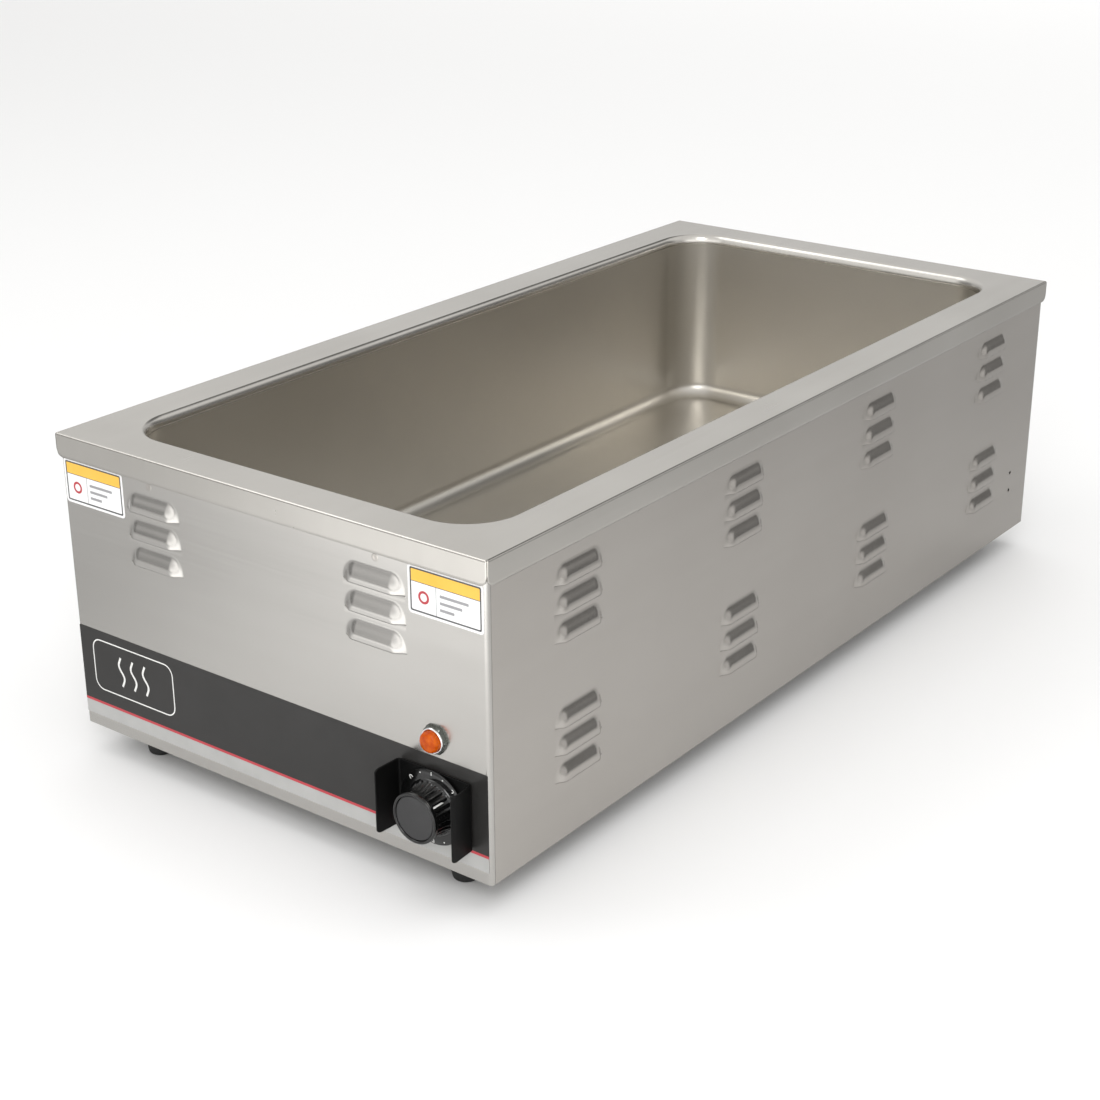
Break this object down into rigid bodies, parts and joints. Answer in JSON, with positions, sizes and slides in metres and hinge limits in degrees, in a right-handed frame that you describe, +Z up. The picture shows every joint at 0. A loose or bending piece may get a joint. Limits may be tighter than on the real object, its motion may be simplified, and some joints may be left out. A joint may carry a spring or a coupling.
{
  "type": "steam table unit",
  "caption": "Countertop electric steam table: deep rectangular stainless water well in a louvred cabinet, with a guarded thermostat knob, a pilot lamp and rubber feet.",
  "frame": {"origin": "on the counter, midway between the feet, under the centre of the deck", "axes": "+X to the right seen from the control face, -Y out of the control face, +Z up; the long side runs along Y"},
  "size_m": [0.375, 0.7897, 0.2383],
  "materials": {
    "deck_steel": "satin brushed stainless, grain along the length",
    "well_steel": "satin drawn stainless, slightly duller",
    "cabinet_steel": "satin brushed stainless, grain along the length",
    "base_steel": "plain mill finish",
    "guard_black": "satin black powder coat",
    "foot_rubber": "matt black rubber",
    "fastener_steel": "zinc plated",
    "knob_black": "semi-gloss black phenolic",
    "knob_disc": "satin charcoal",
    "bezel_chrome": "bright chrome",
    "lens_amber": "translucent amber red",
    "phenolic": "cream phenolic",
    "film_black": "printed film, charcoal with a red line and a silver strip",
    "label_white": "printed label with plain shapes only",
    "element_sheath": "heat-darkened nickel alloy",
    "shield_steel": "bright aluminised sheet",
    "glass_wool": "soft fibre batt",
    "copper": "plain copper",
    "wire_black": "fibreglass sleeved",
    "wire_white": "fibreglass sleeved",
    "wire_red": "fibreglass sleeved",
    "gland_black": "black nylon",
    "ground_green": "green passivated"
  },
  "bodies": {
    "unit": {"back_panel": "cabinet_steel", "bottom_pan": "base_steel", "capillary_tube": "copper", "cord_gland": "gland_black", "element_clamp_back": "base_steel", "element_clamp_front": "base_steel", "element_clamp_middle": "base_steel", "element_terminal_left": "fastener_steel", "element_terminal_right": "fastener_steel", "foot_back_left": "foot_rubber", "foot_back_right": "foot_rubber", "foot_front_left": "foot_rubber", "foot_front_right": "foot_rubber", "foot_screw_back_left": "fastener_steel", "foot_screw_back_right": "fastener_steel", "foot_screw_front_left": "fastener_steel", "foot_screw_front_right": "fastener_steel", "front_overlay": "film_black", "front_panel": "cabinet_steel", "gland_nut": "gland_black", "ground_screw": "ground_green", "guard_screw_bottom": "fastener_steel", "guard_screw_top": "fastener_steel", "heat_shield": "shield_steel", "heating_element": "element_sheath", "insulation_left": "glass_wool", "insulation_right": "glass_wool", "knob_guard": "guard_black", "lead_line": "wire_black", "lead_load": "wire_red", "lead_neutral": "wire_white", "left_side_panel": "cabinet_steel", "notice_label_left": "label_white", "notice_label_right": "label_white", "pilot_bezel": "bezel_chrome", "pilot_body": "phenolic", "pilot_lens": "lens_amber", "right_side_panel": "cabinet_steel", "sensing_bulb": "copper", "terminal_block": "phenolic", "thermostat_body": "phenolic", "thermostat_bridge": "fastener_steel", "top_deck": "deck_steel", "well_pan": "well_steel"},
    "knob": {"control_knob": "knob_black", "knob_cap": "knob_disc", "thermostat_shaft": "fastener_steel"}
  },
  "joints": [
    {"name": "knob_turn", "type": "hinge", "parent": "unit", "child": "knob", "pos_m": [0.14115, -0.37305, 0.0648], "axis": [0, -1, 0], "range_deg": [-40, 250]}
  ]
}
